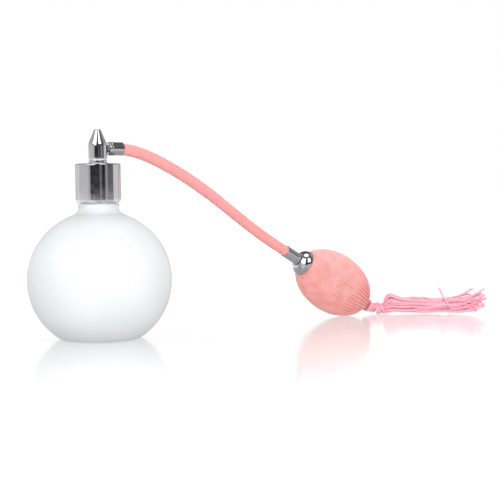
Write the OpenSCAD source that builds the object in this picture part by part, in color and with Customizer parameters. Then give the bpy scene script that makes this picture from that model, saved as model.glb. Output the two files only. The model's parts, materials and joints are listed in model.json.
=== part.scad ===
// Round frosted-glass perfume bottle with a squeeze-bulb atomizer.
// Millimetres. The origin is the centre of the flat foot, +Z is up, and the hose and bulb lie
// along +X. The bottle, its collar and its spray head share the Z axis.

/* [Bottle] */
// Radius of the round glass body at its widest
body_r = 36.3; // [35:0.1:37.5]
// Half the height of the oval that the body is cut from
body_half_h = 35.2; // [34.6:0.1:35.8]
// Height of the widest place above the table
body_mid_z = 29.5; // [29:0.1:30]
// Radius of the flat foot
foot_r = 18.4; // [15:0.1:19]
// Thickness of the glass wall
glass_t = 3; // [2:0.1:4]
// Thickness of the glass under the liquid
floor_t = 5; // [4:0.1:6]
// Radius of the smooth bead below the collar
bead_r = 10.5; // [10.2:0.1:10.8]
// Radius of the bore through the neck
neck_bore_r = 6.75; // [6.7:0.05:7]
// Radius at the root of the neck's screw thread
thread_root_r = 8.9; // [8.6:0.05:9.1]
// Radius at the crest of the neck's screw thread
thread_crest_r = 9.75; // [9.4:0.05:9.8]
// Rise of the thread in one turn
thread_pitch = 3.2; // [2.8:0.1:3.4]

/* [Collar] */
// Height of the collar's lower edge above the table
collar_z = 68.1; // [68:0.1:69]
// Height of the collar
collar_h = 19.6; // [19.4:0.1:21]
// Outer radius of the collar
collar_r = 11.3; // [11.2:0.1:12]

/* [Spray head] */
// Radius of the spray head
head_r = 4.6; // [4.5:0.1:5]
// Height of the head's tip above the collar
head_h = 17.1; // [17:0.1:18]
// Radius of the pipe that the head turns on
stem_r = 3; // [2.9:0.05:3.1]
// Radius of the dip tube
dip_r = 1.5; // [1.3:0.1:1.6]
// Gap between the dip tube's end and the glass below it
dip_gap = 1.5; // [1:0.5:5]

/* [Hose] */
// Outer radius of the braided sleeve
sleeve_r = 3.05; // [2.9:0.05:3.1]
// Outer radius of the air tube inside the sleeve
tube_r = 2.25; // [2.1:0.05:2.25]
// Outer radius of the ferrule at each end of the hose
ferrule_r = 3.4; // [3.35:0.05:3.8]
// Length of the head's ferrule
ferrule_l = 8; // [7.5:0.5:9]

/* [Bulb] */
// Half the length of the covered bulb
bulb_half_l = 26.1; // [25.8:0.1:27]
// Radius of the covered bulb
bulb_r = 17.35; // [17:0.05:18.5]
// Distance of the bulb's centre from the bottle's axis
bulb_x = 149.4; // [149.2:0.1:149.6]
// How far the bulb's axis slopes down, in degrees
bulb_slope = 30; // [29.5:0.5:30.5]
// Thickness of the netted cover
net_t = 0.6; // [0.4:0.1:0.6]
// Thickness of the bulb's rubber wall
rubber_t = 1.5; // [1:0.1:1.8]

/* [Tassel] */
// Length of the tassel's skirt
skirt_l = 57; // [30:1:70]
// Radius of the skirt where it is bound
skirt_r1 = 4; // [3.5:0.1:4.2]
// Radius of the skirt at its loose ends
skirt_r2 = 5; // [4:0.1:6]
// Direction of the tassel on the table, in degrees from +X
tassel_turn = -42; // [-60:1:-20]

/* [Hidden] */

$fn = 48;
fit = 0.05;        // running or assembly clearance on a radius
side_gap = 0.1;    // clearance between faces that don't bear on each other
beyond = 1;        // how far a cutter runs past what it cuts

// Heights up the bottle's axis
collar_top = collar_z + collar_h;
bead_z = collar_z - 0.3;
finish_z = collar_top - 6.2;
gasket_t = 1.2;
flange_z = finish_z + gasket_t;
flange_t = 1.5;
flange_r = 9.6;
plug_z = finish_z - 7.5;
plug_r = neck_bore_r - 0.25;
dip_top = finish_z - 1.5;
ring_z = collar_top + 0.2;
ring_h = 1.5;
shell_z = ring_z + ring_h + 0.4;
cone_z = collar_top + head_h - 7.1;
room_z = cone_z - 0.6;
tip_z = collar_top + head_h;
stem_top = collar_top + 5.4;
air_z = collar_top + 7.5;
jet_z = collar_top + 7.9;
seal_z = collar_top + 3.9;
seal_r = 0.6;

// Radii inside the collar and the head
shell_t = 0.4;
liner_r = collar_r - shell_t - fit;
liner_bore_r = 9.9;
core_r = head_r - 0.5;
channel_r = 0.8;
spigot_r = 1.2;
jet_r = 1.1;

// Places along the bulb's axis, counted from the bulb's centre towards the tail
bulb_z = sqrt(pow(bulb_half_l * sin(bulb_slope), 2) + pow(bulb_r * cos(bulb_slope), 2));
cap_rim_u = -24.2;
cap_top_u = -29.2;
cap_r = 7.4;
cap_depth = 5.88;
cap_t = 0.5;
bulb_ferrule_l = 10;
mouth_u = -26.5;
mouth_r = 3.2;
tail_r = 2.4;
tail_end_u = 25.6;
disc_t = 0.8;
net_gap = 0.3;
net_edge_u = cap_rim_u - 0.2;
net_neck_u = 28.6;
net_end_u = 30;
net_neck_r = 2.4;
cord_r = 0.55;

// A place in the XZ plane on the bulb's axis, u from the bulb's centre towards its tail
function bulb_line(u) = [bulb_x + u * cos(bulb_slope), bulb_z - u * sin(bulb_slope)];

// The hose: points along its middle in the XZ plane, from inside the head's ferrule to inside
// the bulb's. It leaves the head level, falls in one shallow curve and meets the bulb's axis.
hose_route = [[7, air_z], [10, air_z], [13.8, air_z], [17, 94.9], [22, 93.9], [27.5, 92.2], [33, 90],
    [39, 87.2], [46.5, 83.5], [54, 79.4], [61.5, 74.8], [69, 69.8], [77, 64.1], [85, 58.4],
    [93, 52.9], [101, 47.7], [107.5, 43.8], bulb_line(-39.6), bulb_line(-35.5), bulb_line(-30.3)];
hose_sides = 12;

// The tassel, on the table just past the bulb's tail
knot_x = 178.4;
knot_r = 2.6;
knot_z = 3.5;
binding_l = 5;
binding_r = 3.3;

// Points along a circular arc, and along an oval about a height z0
function arc(centre, r, a0, a1, n = 6) =
    [for (i = [0:n]) centre + r * [cos(a0 + (a1 - a0) * i / n), sin(a0 + (a1 - a0) * i / n)]];
function oval(rr, hh, z0, t0, t1, n = 20) =
    [for (i = [0:n]) let(t = t0 + (t1 - t0) * i / n) [rr * cos(t), z0 + hh * sin(t)]];

module tube(r_out, r_in, z0, z1) {
    translate([0, 0, z0]) difference() {
        cylinder(h = z1 - z0, r = r_out);
        translate([0, 0, -beyond]) cylinder(h = z1 - z0 + 2 * beyond, r = r_in);
    }
}

module ring(r_mid, r_wire, z) {
    rotate_extrude() translate([r_mid, z]) circle(r = r_wire, $fn = 24);
}

module turned(points) { rotate_extrude() polygon(points); }

module along_x(x0, x1, r, z) {
    translate([x0, 0, z]) rotate([0, 90, 0]) cylinder(h = x1 - x0, r = r, $fn = 32);
}

// Places its children at the bulb's centre with +Z along the bulb's axis, towards the tail
module at_bulb() {
    translate([bulb_x, 0, bulb_z]) rotate([0, 90 + bulb_slope, 0]) children();
}

// Places its children on the tassel's pivot with +X along the tassel
module at_tassel() {
    translate([knot_x, 0, 0]) rotate([0, 0, tassel_turn]) children();
}

// ---- Bottle ----

// The raised screw thread: a ridge with sloping sides that rises out of the neck and runs out
module neck_thread(turns = 1.6, steps = 48) {
    fade = 5;
    low = finish_z - 2 - turns * thread_pitch;
    sunk_r = thread_root_r - 0.3;
    function crest(i) = sunk_r + 0.2 + (thread_crest_r - sunk_r - 0.2) * min(1, i / fade, (steps - i) / fade);
    function section(i) = let(a = 360 * turns * i / steps, z = low + thread_pitch * turns * i / steps)
        [for (p = [[sunk_r, -1], [crest(i), -0.45], [crest(i), 0.45], [sunk_r, 1]])
            [p[0] * cos(a), p[0] * sin(a), z + p[1]]];
    points = [for (i = [0:steps]) each section(i)];
    sides = [for (i = [0:steps - 1], j = [0:3]) let(k = (j + 1) % 4)
        [4 * i + j, 4 * i + k, 4 * i + 4 + k, 4 * i + 4 + j]];
    last = 4 * steps;
    polyhedron(points, concat(sides, [[3, 2, 1, 0]], [[last, last + 1, last + 2, last + 3]]), convexity = 8);
}

module glass_bottle() {
    in_r = body_r - glass_t;
    in_h = body_half_h - glass_t;
    heel_z = 0.8;
    shoulder_r = bead_r + 1.6;
    shoulder_z = body_mid_z + body_half_h * sin(acos(shoulder_r / body_r));
    floor_round = 3;
    outside = concat([[0, 0], [foot_r, 0], [foot_r + 1.4, 0.25]],
        oval(body_r, body_half_h, body_mid_z, asin((heel_z - body_mid_z) / body_half_h),
            acos(shoulder_r / body_r), 32),
        [[bead_r + 0.7, shoulder_z + 0.7], [bead_r + 0.15, shoulder_z + 1.5], [bead_r - 0.15, collar_z - 2.8],
         [bead_r, collar_z - 2.2], [bead_r, bead_z - 0.4], [bead_r - 0.4, bead_z],
         [thread_root_r, bead_z], [thread_root_r, finish_z - 0.4], [thread_root_r - 0.4, finish_z]]);
    inside = concat([[neck_bore_r + 0.3, finish_z], [neck_bore_r, finish_z - 0.3]],
        oval(in_r, in_h, body_mid_z, acos(neck_bore_r / in_r),
            asin((floor_t + floor_round - body_mid_z) / in_h), 28),
        [[foot_r + 2, floor_t + 0.5], [foot_r, floor_t], [0, floor_t]]);
    color([0.93, 0.95, 0.94]) union() {
        turned(concat(outside, inside));
        neck_thread();
    }
}

// ---- Sprayer ----

module neck_gasket() {
    color([0.9, 0.9, 0.88]) tube(flange_r - 0.2, plug_r + fit, finish_z, flange_z);
}

module stem_housing() {
    color([0.95, 0.95, 0.94]) difference() {
        union() {
            tube(plug_r, channel_r, plug_z, flange_z);
            tube(flange_r, channel_r, flange_z, flange_z + flange_t);
            tube(stem_r, channel_r, flange_z + flange_t, stem_top);
        }
        translate([0, 0, plug_z - beyond]) cylinder(h = dip_top - plug_z + beyond, r = dip_r + fit);
        tube(stem_r + beyond, stem_r - 2 * seal_r, seal_z - seal_r - fit, seal_z + seal_r + fit);
    }
}

module stem_seal() {
    color([0.15, 0.15, 0.15]) ring(stem_r - seal_r, seal_r, seal_z);
}

module dip_tube() {
    color([0.9, 0.92, 0.92]) tube(dip_r, dip_r - 0.5, floor_t + dip_gap, dip_top);
}

module collar_shell() {
    // The lower edge is rounded within the thin wall, the upper one is drawn over a larger radius
    low_edge = shell_t - 0.1;
    top_edge = 0.7;
    lid_t = 0.7;
    outside = concat(arc([collar_r - low_edge, collar_z + low_edge], low_edge, -90, 0, 3),
        arc([collar_r - top_edge, collar_top - top_edge], top_edge, 0, 90));
    bore = collar_r - shell_t;
    inside = [[stem_r + 0.5, collar_top], [stem_r + 0.5, collar_top - lid_t], [bore, collar_top - lid_t], [bore, collar_z]];
    color([0.78, 0.78, 0.8]) turned(concat(outside, inside));
}

module collar_liner() {
    lid_z = collar_top - 0.7;
    color([0.92, 0.92, 0.92]) union() {
        tube(liner_r, liner_bore_r, collar_z + 0.5, flange_z + flange_t + side_gap);
        tube(liner_r, stem_r + 0.3, flange_z + flange_t + side_gap, lid_z);
    }
}

// ---- Spray head ----

module head_ring() {
    soft = 0.25;
    r = head_r + 0.05;
    outside = concat(arc([r - soft, ring_z + soft], soft, -90, 0, 3),
        arc([r - soft, ring_z + ring_h - soft], soft, 0, 90, 3));
    color([0.78, 0.78, 0.8]) turned(concat(outside, [[stem_r + fit, ring_z + ring_h], [stem_r + fit, ring_z]]));
}

module spray_head() {
    tip_r = 1.6;
    // Side of the nose's cone, leaning in from the upright, and the soft shoulder below it
    lean = atan((head_r - tip_r) / (tip_z - cone_z));
    shoulder_r = 6;
    outside = concat([[head_r - 0.2, shell_z], [head_r, shell_z + 0.2]],
        arc([head_r - shoulder_r, cone_z - shoulder_r * tan(lean / 2)], shoulder_r, 0, lean, 6),
        arc([tip_r - 0.5, tip_z - 0.5], 0.5, lean, 90, 5), [[0, tip_z]]);
    color([0.78, 0.78, 0.8]) difference() {
        turned(concat(outside, [[0, room_z], [core_r, room_z], [core_r, shell_z]]));
        along_x(-head_r - beyond, 0, jet_r + fit, jet_z);
        along_x(0, head_r + beyond, spigot_r + fit, air_z);
    }
}

module head_core() {
    color([0.92, 0.92, 0.92]) difference() {
        translate([0, 0, ring_z + ring_h]) cylinder(h = room_z - ring_z - ring_h, r = core_r - 0.02);
        translate([0, 0, ring_z]) cylinder(h = stem_top + side_gap - ring_z, r = stem_r + fit);
        translate([0, 0, ring_z]) cylinder(h = jet_z - ring_z, r = 0.4);
        along_x(-head_r, -1.8, jet_r + fit, jet_z);
        along_x(1.8, head_r, spigot_r + fit, air_z);
        along_x(-1.9, 1.9, 0.4, (air_z + jet_z) / 2);
    }
}

module nozzle_insert() {
    color([0.7, 0.7, 0.72]) difference() {
        along_x(-head_r + 0.1, -1.8, jet_r, jet_z);
        along_x(-head_r, -1, 0.25, jet_z);
    }
}

module air_spigot() {
    shoulder_r = 1.8;
    color([0.75, 0.75, 0.77]) difference() {
        union() {
            along_x(1.8, ferrule_x + ferrule_l - 1, spigot_r, air_z);
            along_x(head_r + 0.02, ferrule_x - 0.02, shoulder_r, air_z);
        }
        along_x(0, ferrule_x + ferrule_l, 0.7, air_z);
    }
}

// ---- Hose ----

ferrule_x = head_r + 1;      // where the head's ferrule begins
ferrule_wall = 0.8;          // its end wall, with a hole for the spigot
ferrule_bore = sleeve_r + fit;

// A ferrule standing on z = 0 with its mouth upwards
module ferrule(l) {
    soft = 0.35;
    outside = concat([[spigot_r + fit, 0]], arc([ferrule_r - soft, soft], soft, -90, 0, 4),
        arc([ferrule_r - 0.15, l - 0.15], 0.15, 0, 90, 2));
    turned(concat(outside, [[ferrule_bore, l], [ferrule_bore, ferrule_wall], [spigot_r + fit, ferrule_wall]]));
}

module head_ferrule() {
    color([0.78, 0.78, 0.8]) translate([ferrule_x, 0, air_z]) rotate([0, 90, 0]) ferrule(ferrule_l);
}

// A hose swept along the route: one outer and one inner ring of points at each place
module hose(r_out, r_in) {
    n = len(hose_route);
    function way(i) = let(a = hose_route[max(0, i - 1)], b = hose_route[min(n - 1, i + 1)], d = b - a) d / norm(d);
    function loop(i, r) = let(d = way(i), p = hose_route[i])
        [for (k = [0:hose_sides - 1]) let(a = 360 * k / hose_sides, up = r * cos(a))
            [p[0] - d[1] * up, r * sin(a), p[1] + d[0] * up]];
    outer = [for (i = [0:n - 1]) each loop(i, r_out)];
    inner = [for (i = [0:n - 1]) each loop(i, r_in)];
    s = hose_sides;
    m = n * s;
    outer_faces = [for (i = [0:n - 2], k = [0:s - 1]) let(q = (k + 1) % s)
        [i * s + k, i * s + q, (i + 1) * s + q, (i + 1) * s + k]];
    inner_faces = [for (f = outer_faces) [for (j = [3:-1:0]) f[j] + m]];
    near_end = [for (k = [0:s - 1]) let(q = (k + 1) % s) [q, k, m + k, m + q]];
    far_end = [for (k = [0:s - 1]) let(q = (k + 1) % s, o = m - s) [o + k, o + q, m + o + q, m + o + k]];
    polyhedron(concat(outer, inner), concat(outer_faces, inner_faces, near_end, far_end), convexity = 8);
}

module hose_tube() { color([0.85, 0.85, 0.84]) hose(tube_r, spigot_r + 0.1); }

module hose_sleeve() { color([0.97, 0.66, 0.65]) hose(sleeve_r, tube_r + 0.1); }

// ---- Bulb ----

module bulb_ferrule() {
    color([0.78, 0.78, 0.8]) at_bulb()
        translate([0, 0, cap_top_u - side_gap]) mirror([0, 0, 1]) ferrule(bulb_ferrule_l);
}

module bulb_cap() {
    flat_r = 3.9;
    edge = oval(cap_r, cap_depth, cap_rim_u, 0, -acos(flat_r / cap_r), 12);
    inside = oval(cap_r - cap_t, cap_depth - cap_t, cap_rim_u, -acos((flat_r - 0.3) / (cap_r - cap_t)), 0, 12);
    back = [for (p = inside) [p[0], max(p[1], cap_top_u + cap_t)]];
    color([0.78, 0.78, 0.8]) at_bulb()
        turned(concat(edge, [[spigot_r + fit, cap_top_u], [spigot_r + fit, cap_top_u + cap_t]], back));
}

module outlet_valve_body() {
    stem_l = 10.5;
    color([0.9, 0.9, 0.88]) at_bulb() difference() {
        union() {
            translate([0, 0, mouth_u - stem_l]) cylinder(h = stem_l, r = spigot_r);
            translate([0, 0, mouth_u - 2.1]) cylinder(h = 2, r = 3.5);
            translate([0, 0, mouth_u - 0.2]) cylinder(h = 6.2, r = mouth_r);
        }
        translate([0, 0, mouth_u - stem_l - beyond]) cylinder(h = stem_l + 8, r = 0.7);
        translate([0, 0, mouth_u + 2]) cylinder(h = 4 + beyond, r = tail_r);
    }
}

module outlet_valve_seat() {
    color([0.75, 0.75, 0.72]) at_bulb() tube(tail_r - 0.02, 1, mouth_u + 4.6, mouth_u + 6);
}

module outlet_valve_disc() {
    color([0.2, 0.2, 0.2]) at_bulb() translate([0, 0, mouth_u + 4.6 - disc_t]) cylinder(h = disc_t, r = tail_r - 0.3);
}

module bulb_bladder() {
    r_out = bulb_r - net_t - net_gap;
    l_out = bulb_half_l - net_t - net_gap;
    r_in = r_out - rubber_t;
    l_in = l_out - rubber_t;
    neck = mouth_r + fit;
    tail = tail_r + fit;
    outside = concat([[neck + 1.3, mouth_u]],
        oval(r_out, l_out, 0, -acos((neck + 1.3) / r_out), acos((tail + 1) / r_out), 30), [[tail + 1, tail_end_u]]);
    inside = concat([[tail, tail_end_u]],
        oval(r_in, l_in, 0, acos(tail / r_in), -acos(neck / r_in), 26), [[neck, mouth_u]]);
    color([0.85, 0.6, 0.58]) at_bulb() turned(concat(outside, inside));
}

module bulb_net() {
    r_in = bulb_r - net_t;
    l_in = bulb_half_l - net_t;
    t_edge = -asin(-net_edge_u / bulb_half_l);
    t_edge_in = -asin(-net_edge_u / l_in);
    neck_r = tail_r + 1.7;
    outside = concat(oval(bulb_r, bulb_half_l, 0, t_edge, acos(neck_r / bulb_r), 32),
        [[neck_r, tail_end_u + 1], [net_neck_r, net_neck_u], [net_neck_r, net_end_u]]);
    inside = concat([[net_neck_r - 1, net_end_u], [net_neck_r - 1, net_neck_u], [neck_r - net_t, tail_end_u + 0.9]],
        oval(r_in, l_in, 0, acos((neck_r - net_t) / r_in), t_edge_in, 28));
    color([0.97, 0.68, 0.67]) at_bulb() turned(concat(outside, inside));
}

module intake_valve_body() {
    seat_u = tail_end_u - 2;
    color([0.9, 0.9, 0.88]) at_bulb() difference() {
        union() {
            translate([0, 0, tail_end_u - 6.4]) cylinder(h = 6.5, r = tail_r);
            translate([0, 0, tail_end_u + 0.1]) cylinder(h = 0.7, r = tail_r + 0.6);
        }
        translate([0, 0, tail_end_u - 8]) cylinder(h = seat_u - tail_end_u + 8, r = 1.8);
        translate([0, 0, seat_u - beyond]) cylinder(h = 5, r = 0.6);
    }
}

module intake_valve_cage() {
    color([0.75, 0.75, 0.72]) at_bulb() tube(1.78, 0.8, tail_end_u - 6.4, tail_end_u - 5.2);
}

module intake_valve_disc() {
    seat_u = tail_end_u - 2;
    color([0.2, 0.2, 0.2]) at_bulb() translate([0, 0, seat_u - disc_t]) cylinder(h = disc_t, r = 1.5);
}

module net_drawstring() {
    color([0.94, 0.64, 0.7]) at_bulb() ring(net_neck_r + cord_r, cord_r, net_end_u - 0.7);
}

// ---- Tassel ----

module tassel_knot() {
    squat = 0.98;
    outline = [for (p = oval(knot_r, knot_z * squat, knot_z, -90, 90, 14)) [max(0, p[0]), p[1]]];
    color([0.94, 0.64, 0.7]) at_tassel() turned(outline);
}

module tassel_binding() {
    // Starts just past the knot's widest place
    color([0.92, 0.6, 0.67]) at_tassel() translate([knot_r + 0.1, 0, binding_r]) rotate([0, 90, 0])
        cylinder(h = binding_l, r = binding_r);
}

module tassel_skirt() {
    // The cone lies on its side, so its axis rises with its radius
    lean = atan((skirt_r2 - skirt_r1) / skirt_l);
    color([0.94, 0.64, 0.7]) at_tassel() translate([knot_r + binding_l + 0.4, 0, skirt_r1])
        rotate([0, 90 - lean, 0]) cylinder(h = skirt_l, r1 = skirt_r1, r2 = skirt_r2);
}

glass_bottle();
neck_gasket();
stem_housing();
stem_seal();
dip_tube();
collar_shell();
collar_liner();
head_ring();
spray_head();
head_core();
nozzle_insert();
air_spigot();
head_ferrule();
hose_tube();
hose_sleeve();
bulb_ferrule();
bulb_cap();
outlet_valve_body();
outlet_valve_seat();
outlet_valve_disc();
bulb_bladder();
bulb_net();
intake_valve_body();
intake_valve_cage();
intake_valve_disc();
net_drawstring();
tassel_knot();
tassel_binding();
tassel_skirt();
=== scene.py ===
import json
import math

import bpy
import numpy as np
from mathutils import Matrix, Vector


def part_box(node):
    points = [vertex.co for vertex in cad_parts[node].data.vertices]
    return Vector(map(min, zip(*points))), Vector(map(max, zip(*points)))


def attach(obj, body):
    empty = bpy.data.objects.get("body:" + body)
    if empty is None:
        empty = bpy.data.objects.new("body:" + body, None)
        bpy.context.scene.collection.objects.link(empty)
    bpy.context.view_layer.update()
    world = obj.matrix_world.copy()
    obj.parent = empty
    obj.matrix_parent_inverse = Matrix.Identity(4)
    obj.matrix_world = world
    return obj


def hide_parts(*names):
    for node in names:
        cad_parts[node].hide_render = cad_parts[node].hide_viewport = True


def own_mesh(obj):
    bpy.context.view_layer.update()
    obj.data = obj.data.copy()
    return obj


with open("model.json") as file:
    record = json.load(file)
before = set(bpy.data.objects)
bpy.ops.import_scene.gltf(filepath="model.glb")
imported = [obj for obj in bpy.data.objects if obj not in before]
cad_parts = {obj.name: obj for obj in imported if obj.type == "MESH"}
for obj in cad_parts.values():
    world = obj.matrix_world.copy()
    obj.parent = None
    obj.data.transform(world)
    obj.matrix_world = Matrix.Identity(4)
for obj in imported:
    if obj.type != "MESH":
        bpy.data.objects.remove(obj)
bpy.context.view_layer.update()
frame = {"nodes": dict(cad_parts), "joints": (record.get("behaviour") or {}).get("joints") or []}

scene = bpy.context.scene


# ---- Camera ----
# The bottle is looked at from a little above its shoulder, about 35 degrees off the hose's plane,
# through a long lens. The camera leans half a degree to the right.

def aim(place, heading, pitch, lean):
    """The camera's matrix from its place, the compass heading it looks along, pitch and lean."""
    level = math.cos(pitch)
    ahead = Vector((math.cos(heading) * level, math.sin(heading) * level, math.sin(pitch)))
    right = ahead.cross(Vector((0, 0, 1))).normalized()
    up = right.cross(ahead)
    side = right * math.cos(lean) - up * math.sin(lean)
    top = up * math.cos(lean) + right * math.sin(lean)
    turn = Matrix((side, top, -ahead)).transposed()
    return Matrix.Translation(place) @ turn.to_4x4()


lens = bpy.data.cameras.new("camera")
lens.lens = 80.64
lens.sensor_width = 36
camera = bpy.data.objects.new("camera", lens)
EYE = Vector((-0.2542, -0.507, 0.0722))
camera.matrix_world = aim(EYE, math.radians(55.71), math.radians(-2.91), math.radians(0.63))
scene.collection.objects.link(camera)
scene.camera = camera


# ---- Hose sleeve ----
# A tubular braid of salmon-pink yarn over a rubber air tube, 6.1 mm across. Fourteen yarns run
# each way round it and pass over and under each other. Both ends are pushed into ferrules.

HOSE_ROUTE = [(0.007, 0.0952), (0.010, 0.0952), (0.0138, 0.0952), (0.017, 0.0949), (0.022, 0.0939),
              (0.0275, 0.0922), (0.033, 0.0900), (0.039, 0.0872), (0.0465, 0.0835), (0.054, 0.0794),
              (0.0615, 0.0748), (0.069, 0.0698), (0.077, 0.0641), (0.085, 0.0584), (0.093, 0.0529),
              (0.101, 0.0477), (0.1075, 0.0438), (0.11511, 0.0397), (0.11866, 0.03765), (0.12316, 0.03505)]
SLEEVE_R = 0.00305
SLEEVE_BORE = 0.00236
BRAID_YARNS = 14
BRAID_DEPTH = 0.0005


def smooth_route(points, step, passes=0):
    """A smooth curve through the points, as places about a step apart along its length."""
    p = np.array(points, float)
    for _ in range(passes):
        p[1:-1] = (p[:-2] + 2 * p[1:-1] + p[2:]) / 4
    padded = np.vstack([2 * p[0] - p[1], p, 2 * p[-1] - p[-2]])
    fine = []
    for a, b, c, d in zip(padded, padded[1:], padded[2:], padded[3:]):
        for t in np.linspace(0, 1, 24, endpoint=False):
            fine.append(0.5 * (2 * b + (c - a) * t + (2 * a - 5 * b + 4 * c - d) * t * t
                               + (3 * b - a - 3 * c + d) * t ** 3))
    fine.append(p[-1])
    fine = np.array(fine)
    run = np.concatenate([[0], np.cumsum(np.linalg.norm(np.diff(fine, axis=0), axis=1))])
    places = np.linspace(0, run[-1], max(2, int(round(run[-1] / step)) + 1))
    return np.stack([np.interp(places, run, fine[:, k]) for k in range(3)], axis=1), places


def cross_axes(path, start_up=(0, 0, 1)):
    """Two directions square to a path at each of its points, carried along it without twisting."""
    ways = np.gradient(path, axis=0)
    ways /= np.linalg.norm(ways, axis=1)[:, None]
    up = np.array(start_up, float)
    ups = []
    for way in ways:
        up = up - way * (up @ way)
        up /= np.linalg.norm(up)
        ups.append(up)
    ups = np.array(ups)
    return ups, np.cross(ways, ups)


def ring_points(path, radii, angles):
    """Points round a path: one ring at each place, at the radii given for each place and angle."""
    ups, sides = (axes[:, None, :] for axes in cross_axes(path))
    ways = np.cos(angles)[None, :, None] * ups + np.sin(angles)[None, :, None] * sides
    return path[:, None, :] + radii[:, :, None] * ways


def grid_faces(rows, columns, first=0, inward=False):
    """Quads between rings of points; the last point of each ring joins its first."""
    faces = []
    for i in range(rows - 1):
        for k in range(columns):
            a, b = first + i * columns + k, first + i * columns + (k + 1) % columns
            quad = (a, b, b + columns, a + columns)
            faces.append(quad[::-1] if inward else quad)
    return faces


def double_skin(outer, inner):
    """Points and faces of a tube's wall: rings outside and inside, joined at both ends."""
    columns = outer.shape[1]
    first_inner = len(outer) * columns
    faces = grid_faces(len(outer), columns) + grid_faces(len(inner), columns, first_inner, inward=True)
    last_outer = first_inner - columns
    last_inner = first_inner + (len(inner) - 1) * columns
    for k in range(columns):
        q = (k + 1) % columns
        faces.append((q, k, first_inner + k, first_inner + q))
        faces.append((last_outer + k, last_outer + q, last_inner + q, last_inner + k))
    return np.vstack([outer.reshape(-1, 3), inner.reshape(-1, 3)]), faces


def new_piece(name, points, faces, relief=None):
    """A smooth-shaded mesh object. relief holds one number a point, for its material to read."""
    mesh = bpy.data.meshes.new(name)
    mesh.from_pydata([tuple(p) for p in points], [], faces)
    if relief is not None:
        heights = mesh.attributes.new("relief", "FLOAT", "POINT")
        heights.data.foreach_set("value", np.asarray(relief, np.float32))
    mesh.update()
    mesh.shade_smooth()
    piece = bpy.data.objects.new(name, mesh)
    scene.collection.objects.link(piece)
    return piece


def linear(r, g, b):
    """A colour given in everyday 0 to 255 values, as the linear values that shaders take."""
    shares = (r / 255, g / 255, b / 255)
    return tuple(c / 12.92 if c <= 0.04045 else ((c + 0.055) / 1.055) ** 2.4 for c in shares) + (1,)


def add_node(tree, kind, settings, inputs):
    """A new shader node. Its inputs go by name, or as i and a number where names repeat."""
    made = tree.nodes.new(kind)
    for key, value in dict(settings).items():
        setattr(made, key, value)
    for key, value in inputs.items():
        numbered = key[0] == "i" and key[1:].isdigit()
        socket = made.inputs[int(key[1:]) if numbered else key.replace("_", " ")]
        if isinstance(value, bpy.types.NodeSocket):
            tree.links.new(value, socket)
        else:
            socket.default_value = value
    return made


class Finish:
    """A node material: one shader, with short calls that add the nodes feeding it."""

    def __init__(self, name, **sockets):
        self.material = bpy.data.materials.new(name)
        self.material.use_nodes = True
        self.tree = self.material.node_tree
        self.shader = self.tree.nodes["Principled BSDF"]
        for socket, value in sockets.items():
            self.shader.inputs[socket.replace("_", " ")].default_value = value
        self.bumps = None

    def node(self, kind, settings=(), **inputs):
        return add_node(self.tree, kind, settings, inputs)

    def place(self):
        return self.node("ShaderNodeTexCoord").outputs["Object"]

    def noise(self, scale, detail=3.0):
        made = self.node("ShaderNodeTexNoise", Scale=scale, Detail=detail, Vector=self.place())
        return made.outputs["Fac"]

    def relief(self):
        return self.node("ShaderNodeAttribute", {"attribute_name": "relief"}).outputs["Fac"]

    def mapped(self, value, low, high, to_low, to_high):
        made = self.node("ShaderNodeMapRange", Value=value)
        for key, number in (("From Min", low), ("From Max", high), ("To Min", to_low), ("To Max", to_high)):
            made.inputs[key].default_value = number
        return made.outputs["Result"]

    def ramp(self, value, *stops):
        made = self.node("ShaderNodeValToRGB", Fac=value)
        band = made.color_ramp
        while len(band.elements) < len(stops):
            band.elements.new(0.5)
        for element, (at, colour) in zip(band.elements, stops):
            element.position, element.color = at, colour
        return made.outputs["Color"]

    def mixed(self, factor, a, b):
        """A blend of two colours: a where the factor is 0, and b where it is 1."""
        return self.node("ShaderNodeMix", {"data_type": "RGBA"}, i0=factor, i6=a, i7=b).outputs[2]

    def feed(self, socket, value):
        self.tree.links.new(value, self.shader.inputs[socket])

    def clouded(self, scale, detail, a, b, most=1.0):
        """A colour that drifts from a towards b in soft patches."""
        patches = self.mapped(self.noise(scale, detail), 0.3, 0.7, 0.0, most)
        self.feed("Base Color", self.mixed(patches, a, b))

    def worn(self, scale, detail, low, high):
        """A roughness that drifts between two values in soft patches."""
        self.feed("Roughness", self.mapped(self.noise(scale, detail), 0.3, 0.7, low, high))

    def bump(self, height, depth, strength=1.0):
        """Adds relief of that depth in metres; each call builds on the one before."""
        made = self.node("ShaderNodeBump", Height=height, Distance=depth, Strength=strength)
        if self.bumps is not None:
            self.tree.links.new(self.bumps, made.inputs["Normal"])
        self.bumps = made.outputs["Normal"]
        self.feed("Normal", self.bumps)


def dress(piece, finish):
    """Gives a piece or a CAD node its one material."""
    piece.data.materials.clear()
    piece.data.materials.append(finish.material)
    return piece


def braid_relief(turns, along, cell):
    """Height from 0 to 1 of a plain braid; turns is 0 to 1 round it, along is the distance."""
    u = BRAID_YARNS * turns + along / cell
    v = BRAID_YARNS * turns - along / cell
    left, right = np.round(u), np.round(v)
    body_left = np.sqrt(np.clip(1 - 3.4 * (u - left) ** 2, 0, 1))
    body_right = np.sqrt(np.clip(1 - 3.4 * (v - right) ** 2, 0, 1))
    over_left = np.cos(math.pi * (v + left))
    over_right = -np.cos(math.pi * (u + right))
    height = np.maximum(0.62 * body_left + 0.38 * over_left, 0.62 * body_right + 0.38 * over_right)
    return np.clip(height, 0, 1)


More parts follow.
